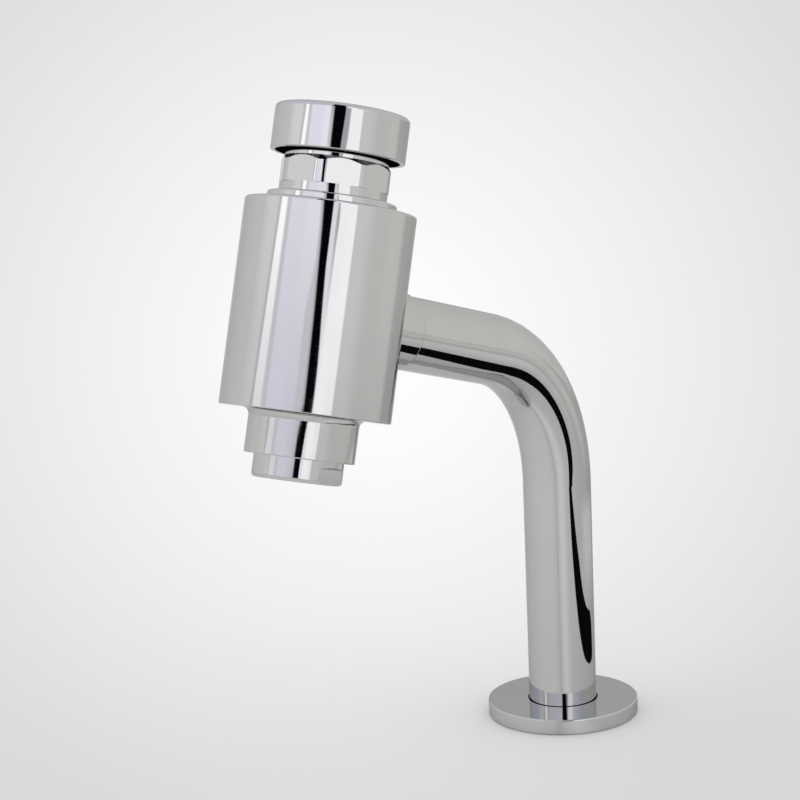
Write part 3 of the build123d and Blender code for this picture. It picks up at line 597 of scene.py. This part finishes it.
# Pieces built here
def add_piece(name, mesh, body, slot, node):
    piece = add_object(name, mesh)
    for face in mesh.polygons:
        face.use_smooth = True
    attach(piece, body)
    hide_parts(node)
    wear(piece, slot)
    return piece


def head_frame():
    """Matrix that lays the head's axis along its own Z."""
    side = Vector((1.0, 0.0, 0.0))
    ahead = HEAD_AXIS.cross(side)
    turn = Matrix((side, ahead, HEAD_AXIS)).transposed().to_4x4()
    return Matrix.Translation(HEAD_CENTRE) @ turn


def tube_mesh(name, path, radius, sides):
    """A round wire along a path, closed by flat ends."""
    build = bmesh.new()
    rows = []
    last = None
    for index, spot in enumerate(path):
        before = path[max(index - 1, 0)]
        after = path[min(index + 1, len(path) - 1)]
        along = (after - before).normalized()
        out = Vector((spot.x, spot.y, 0.0)) if last is None else last - along * last.dot(along)
        out.normalize()
        last = out
        across = along.cross(out)
        ring = [out * math.cos(angle) + across * math.sin(angle) for angle in turns(sides)]
        rows.append([build.verts.new(spot + spoke * radius) for spoke in ring])
    skin(build, rows)
    build.faces.new(list(reversed(rows[0])))
    build.faces.new(rows[-1])
    return finish_mesh(build, name)


def build_spring():
    steps = SPRING_TURNS * SPRING_TURN_STEPS
    path = []
    for step in range(steps + 1):
        share = step / steps
        angle = 2 * math.pi * SPRING_TURNS * share
        # the end turns close up towards the ground ends
        rise = share - SPRING_CLOSING_SHARE * math.sin(4 * math.pi * share)
        x = SPRING_COIL_RADIUS * math.cos(angle)
        y = SPRING_COIL_RADIUS * math.sin(angle)
        z = SPRING_LOW + (SPRING_HIGH - SPRING_LOW) * rise
        path.append(Vector((x, y, z)) * MM)
    mesh = tube_mesh("spring_coil", path, SPRING_WIRE_RADIUS * MM, SPRING_SIDES)
    mesh.transform(head_frame())
    piece = add_piece("spring_coil", mesh, "tap_body", "stainless_steel", "return_spring")
    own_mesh(piece)


def lathe_mesh(name, rows, sides):
    """A closed turned form. rows gives, for each step along the outline, a function of the
    turn that returns (radius, height)."""
    build = bmesh.new()
    made = []
    for outline in rows:
        row = []
        for angle in turns(sides):
            radius, height = outline(angle)
            place = Vector((radius * math.cos(angle), radius * math.sin(angle), height))
            row.append(build.verts.new(place * MM))
        made.append(row)
    skin(build, made + made[:1])
    bmesh.ops.recalc_face_normals(build, faces=build.faces)
    return finish_mesh(build, name)


def clamped(value):
    return min(max(value, 0.0), 1.0)


def thread_depth(height, angle):
    """How far a rounded 55 degree thread is cut in at a height and a turn."""
    phase = (height / THREAD_PITCH - angle / (2 * math.pi)) % 1.0
    flank = abs(phase * 2 - 1)
    cut = clamped((flank - THREAD_CREST_SHARE) / (1 - 2 * THREAD_CREST_SHARE))
    start = clamped((height - SHANK_LOW - THREAD_LEAD) / THREAD_FADE)
    end = clamped((THREAD_TOP - height) / THREAD_FADE)
    return THREAD_DEPTH * cut * cut * (3 - 2 * cut) * min(start, end)


def build_shank():
    def plain(radius, height):
        return lambda angle: (radius, height)

    def cut(height):
        inner = SHANK_RADIUS - SHANK_EDGE
        slope = inner + min(height - SHANK_LOW, SHANK_EDGE)
        return lambda angle: (min(SHANK_RADIUS - thread_depth(height, angle), slope), height)

    def threaded(low, high):
        count = int((high - low) / (THREAD_PITCH / THREAD_ROWS))
        return [cut(low + (high - low) * row / count) for row in range(count + 1)]

    groove_low, groove_high = SHANK_GROOVE
    groove = SHANK_RADIUS - SHANK_GROOVE_DEPTH
    rows = [
        plain(SHANK_BORE, SHANK_POCKET_TOP),
        plain(SHANK_POCKET, SHANK_POCKET_TOP),
        plain(SHANK_POCKET, SHANK_LOW),
    ]
    rows += threaded(SHANK_LOW, groove_low)
    rows += [plain(groove, groove_low), plain(groove, groove_high)]
    rows += threaded(groove_high, SHANK_FOOT)
    rows += [
        plain(SHANK_HEAD_RADIUS, SHANK_FOOT),
        plain(SHANK_HEAD_RADIUS, SHANK_HEAD_TOP),
        plain(SHANK_BORE, SHANK_HEAD_TOP),
    ]
    mesh = lathe_mesh("threaded_shank", rows, LATHE_SIDES)
    piece = add_piece("threaded_shank", mesh, "tap_body", "brass", "inlet_shank")
    piece.data.set_sharp_from_angle(angle=SHARP_EDGE)


build_spring()
build_shank()

# Each CAD node wears the finish of its slot in the record
for part in frame["record"]["subparts"]:
    wear(nodes[part["node"]], part["material_slot"])
